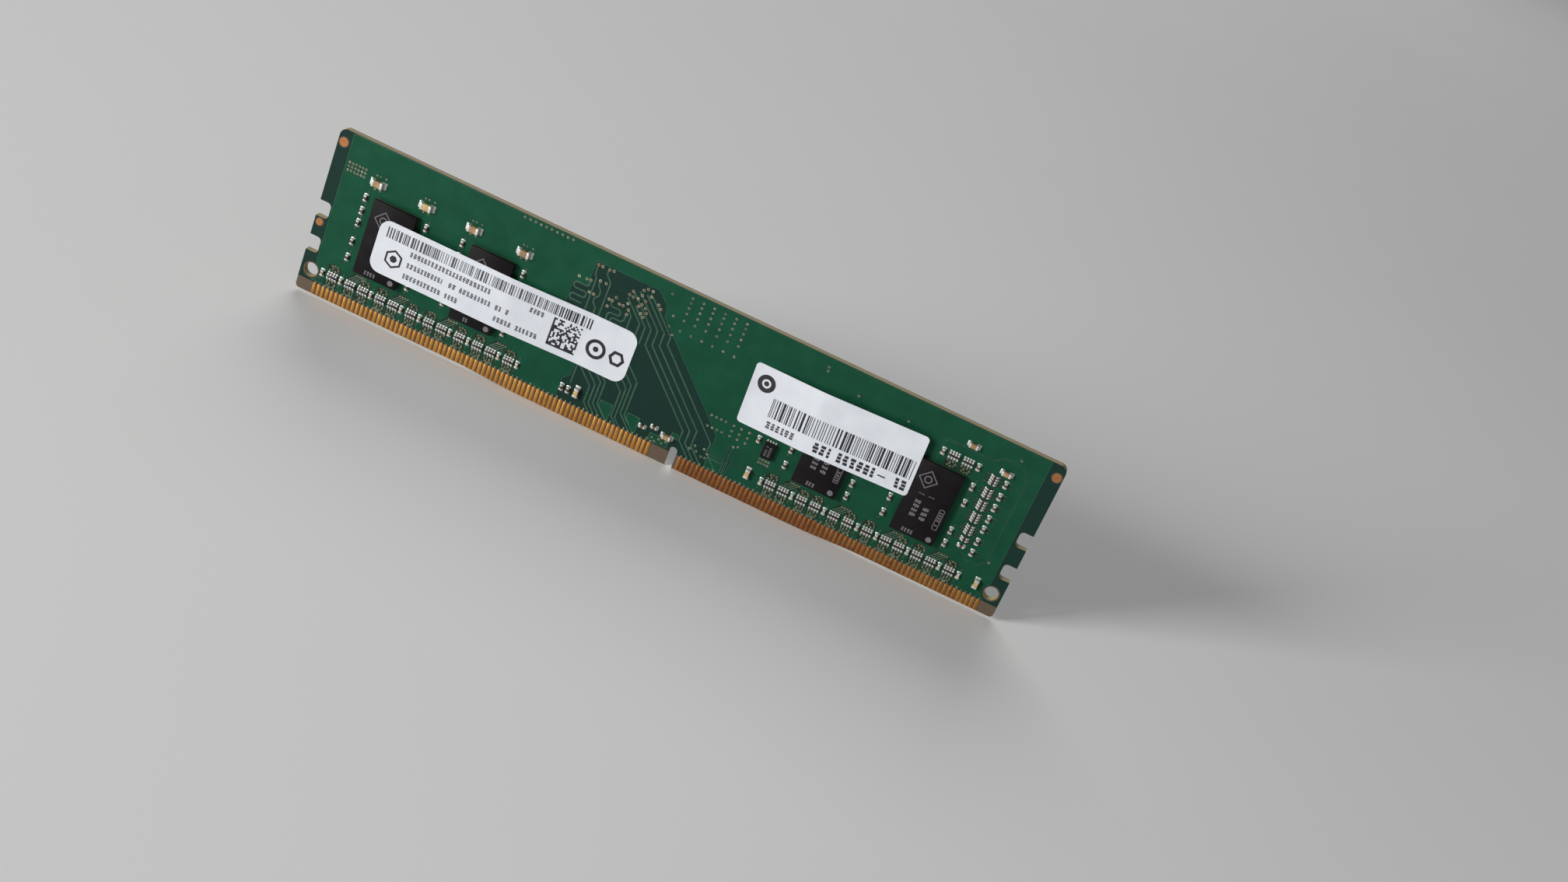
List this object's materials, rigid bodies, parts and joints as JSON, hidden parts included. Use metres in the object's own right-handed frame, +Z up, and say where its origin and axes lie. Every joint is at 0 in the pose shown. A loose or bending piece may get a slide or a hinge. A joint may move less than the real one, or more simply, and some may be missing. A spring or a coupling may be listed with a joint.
{
  "type": "ram module",
  "caption": "Flat green desktop memory card with a stepped, keyed gold contact edge, notched ends, square memory packages, small chip parts and two paper labels on one face.",
  "frame": {"origin": "middle of the contact edge's lowest line, at half the card's thickness", "axes": "+X along the card towards the end with the shorter contact block, +Z up from the contact edge, -Y out of the face that carries the parts"},
  "size_m": [0.1334, 0.0027, 0.0312],
  "materials": {
    "laminate": "woven glass and resin, cut edges matt",
    "copper": "rolled copper",
    "bare_copper": "bare copper, satin",
    "solder_mask": "semi-gloss green lacquer",
    "gold": "gold plate, satin",
    "mold_compound": "fine matt moulded epoxy",
    "package_substrate": "thin laminate",
    "silicon": "ground silicon",
    "solder": "bright reflowed solder",
    "terminal_tin": "bright tin plate",
    "resistor_ceramic": "dark fired ceramic",
    "resistor_overcoat": "black glaze",
    "capacitor_tan": "fired tan ceramic",
    "capacitor_brown": "fired brown ceramic",
    "label_paper": "coated paper, satin"
  },
  "bodies": {
    "root": {"address_capacitors_ceramic": "capacitor_brown", "address_capacitors_end_caps": "terminal_tin", "address_resistors_ceramic": "resistor_ceramic", "address_resistors_overcoat": "resistor_overcoat", "address_resistors_terminals": "terminal_tin", "contact_row_capacitors_ceramic": "capacitor_brown", "contact_row_capacitors_end_caps": "terminal_tin", "contacts_back_left": "gold", "contacts_back_right": "gold", "contacts_front_left": "gold", "contacts_front_right": "gold", "copper_back": "copper", "copper_front": "copper", "data_resistors_left_ceramic": "resistor_ceramic", "data_resistors_left_overcoat": "resistor_overcoat", "data_resistors_left_terminals": "terminal_tin", "data_resistors_right_ceramic": "resistor_ceramic", "data_resistors_right_overcoat": "resistor_overcoat", "data_resistors_right_terminals": "terminal_tin", "decoupling_capacitors_left_ceramic": "capacitor_brown", "decoupling_capacitors_left_end_caps": "terminal_tin", "decoupling_capacitors_right_ceramic": "capacitor_brown", "decoupling_capacitors_right_end_caps": "terminal_tin", "dram_1_die": "silicon", "dram_1_mold_cap": "mold_compound", "dram_1_solder_balls": "solder", "dram_1_substrate": "package_substrate", "dram_2_die": "silicon", "dram_2_mold_cap": "mold_compound", "dram_2_solder_balls": "solder", "dram_2_substrate": "package_substrate", "dram_3_die": "silicon", "dram_3_mold_cap": "mold_compound", "dram_3_solder_balls": "solder", "dram_3_substrate": "package_substrate", "dram_4_die": "silicon", "dram_4_mold_cap": "mold_compound", "dram_4_solder_balls": "solder", "dram_4_substrate": "package_substrate", "ground_plane": "copper", "label_main": "label_paper", "label_part_number": "label_paper", "laminate_core": "laminate", "large_supply_capacitors_ceramic": "capacitor_tan", "large_supply_capacitors_end_caps": "terminal_tin", "medium_supply_capacitors_ceramic": "capacitor_tan", "medium_supply_capacitors_end_caps": "terminal_tin", "middle_capacitors_ceramic": "capacitor_brown", "middle_capacitors_end_caps": "terminal_tin", "power_plane": "copper", "prepreg_back": "laminate", "prepreg_front": "laminate", "registration_marks": "bare_copper", "solder_mask_back": "solder_mask", "solder_mask_front": "solder_mask", "spd_body": "mold_compound", "spd_die": "silicon", "spd_leads": "terminal_tin"}
  },
  "joints": []
}
